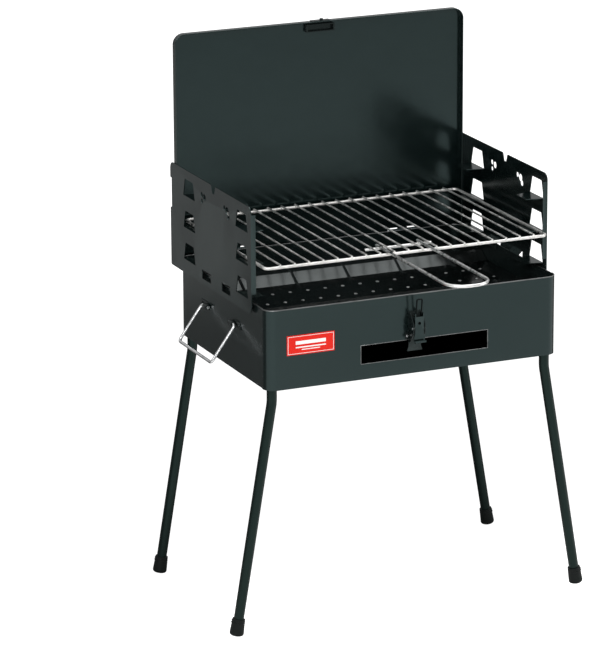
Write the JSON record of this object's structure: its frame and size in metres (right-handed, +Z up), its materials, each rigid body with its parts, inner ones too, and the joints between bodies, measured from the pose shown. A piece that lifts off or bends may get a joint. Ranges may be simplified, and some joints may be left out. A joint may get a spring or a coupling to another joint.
{
  "type": "folding camp grill",
  "caption": "Portable suitcase charcoal grill: shallow firebox on plug-in splayed legs, hinged lid as rear screen, notched side plates, wire grate with lifter.",
  "frame": {"origin": "on the ground, under the middle of the whole open grill, lifter included; the centre of the firebox is 77 mm behind it", "axes": "+X to the right seen from the front, +Y to the back, +Z up; the draught slot and latch face -Y"},
  "size_m": [0.4992, 0.476, 0.7214],
  "materials": {
    "enamel": "glossy dark green-grey baked enamel",
    "tray_enamel": "black enamel, semi-gloss",
    "chrome_wire": "bright plated wire",
    "zinc_wire": "bright zinc",
    "black_steel": "blackened steel",
    "leg_paint": "black-green enamel tube",
    "foot_rubber": "moulded black cap",
    "red_label": "plain printed badge"
  },
  "bodies": {
    "firebox": {"front_panel": "enamel", "body_shell": "enamel", "floor_pan": "enamel", "leg_sockets": "enamel", "tray_brackets": "enamel", "coal_tray": "tray_enamel", "hinge_box_leaves": "enamel", "hinge_pins": "zinc_wire", "latch_base": "black_steel", "latch_pin": "zinc_wire", "latch_rivets": "zinc_wire", "label_plate": "red_label", "left_handle_clips": "black_steel", "right_handle_clips": "black_steel", "clip_rivets": "black_steel"},
    "lid": {"lid": "enamel", "lid_keeper": "enamel", "hinge_lid_leaves": "enamel"},
    "latch_lever": {"latch_lever": "enamel"},
    "latch_loop": {"latch_loop": "black_steel"},
    "left_plate": {"left_plate": "enamel"},
    "right_plate": {"right_plate": "enamel"},
    "grate": {"grate_frame": "chrome_wire", "grate_bars": "chrome_wire"},
    "lifter": {"lifter_loop": "chrome_wire", "lifter_crossbar": "chrome_wire"},
    "left_handle": {"left_handle": "zinc_wire"},
    "right_handle": {"right_handle": "zinc_wire"},
    "leg_front_left": {"leg_front_left": "leg_paint", "foot_front_left": "foot_rubber"},
    "leg_front_right": {"leg_front_right": "leg_paint", "foot_front_right": "foot_rubber"},
    "leg_rear_left": {"leg_rear_left": "leg_paint", "foot_rear_left": "foot_rubber"},
    "leg_rear_right": {"leg_rear_right": "leg_paint", "foot_rear_right": "foot_rubber"}
  },
  "joints": [
    {"name": "lid_hinge", "type": "hinge", "parent": "firebox", "child": "lid", "pos_m": [0, 0.2245, 0.4231], "axis": [1, 0, 0], "range_deg": [0, 90]},
    {"name": "latch_lever_hinge", "type": "hinge", "parent": "firebox", "child": "latch_lever", "pos_m": [0, -0.08, 0.382], "axis": [-1, 0, 0], "range_deg": [0, 20]},
    {"name": "latch_loop_hinge", "type": "hinge", "parent": "latch_lever", "child": "latch_loop", "pos_m": [0, -0.08, 0.3995], "axis": [1, 0, 0], "range_deg": [-29, 80]},
    {"name": "left_plate_off", "type": "slide", "parent": "firebox", "child": "left_plate", "axis": [0, -0.9848, 0.1736], "range_m": [0, 0.4]},
    {"name": "right_plate_off", "type": "slide", "parent": "firebox", "child": "right_plate", "axis": [0, -0.9848, 0.1736], "range_m": [0, 0.4]},
    {"name": "grate_slide", "type": "slide", "parent": "left_plate", "child": "grate", "axis": [0, -1, 0], "range_m": [0, 0.12]},
    {"name": "lifter_tilt", "type": "hinge", "parent": "grate", "child": "lifter", "pos_m": [0, -0.049, 0.47305], "axis": [-1, 0, 0], "range_deg": [0, 45]},
    {"name": "left_handle_swing", "type": "hinge", "parent": "firebox", "child": "left_handle", "pos_m": [-0.2044, 0.082, 0.382], "axis": [0, 1, 0], "range_deg": [-33, 100]},
    {"name": "right_handle_swing", "type": "hinge", "parent": "firebox", "child": "right_handle", "pos_m": [0.2044, 0.082, 0.382], "axis": [0, -1, 0], "range_deg": [-33, 100]},
    {"name": "leg_front_left_pull", "type": "slide", "parent": "firebox", "child": "leg_front_left", "axis": [0, 0, -1], "range_m": [0, 0.045]},
    {"name": "leg_front_right_pull", "type": "slide", "parent": "firebox", "child": "leg_front_right", "axis": [0, 0, -1], "range_m": [0, 0.045]},
    {"name": "leg_rear_left_pull", "type": "slide", "parent": "firebox", "child": "leg_rear_left", "axis": [0, 0, -1], "range_m": [0, 0.045]},
    {"name": "leg_rear_right_pull", "type": "slide", "parent": "firebox", "child": "leg_rear_right", "axis": [0, 0, -1], "range_m": [0, 0.045]}
  ],
  "couplings": [
    {"joint": "left_plate_off", "follows": "lid_hinge", "m_per_rad": 0.25},
    {"joint": "right_plate_off", "follows": "lid_hinge", "m_per_rad": 0.25}
  ]
}
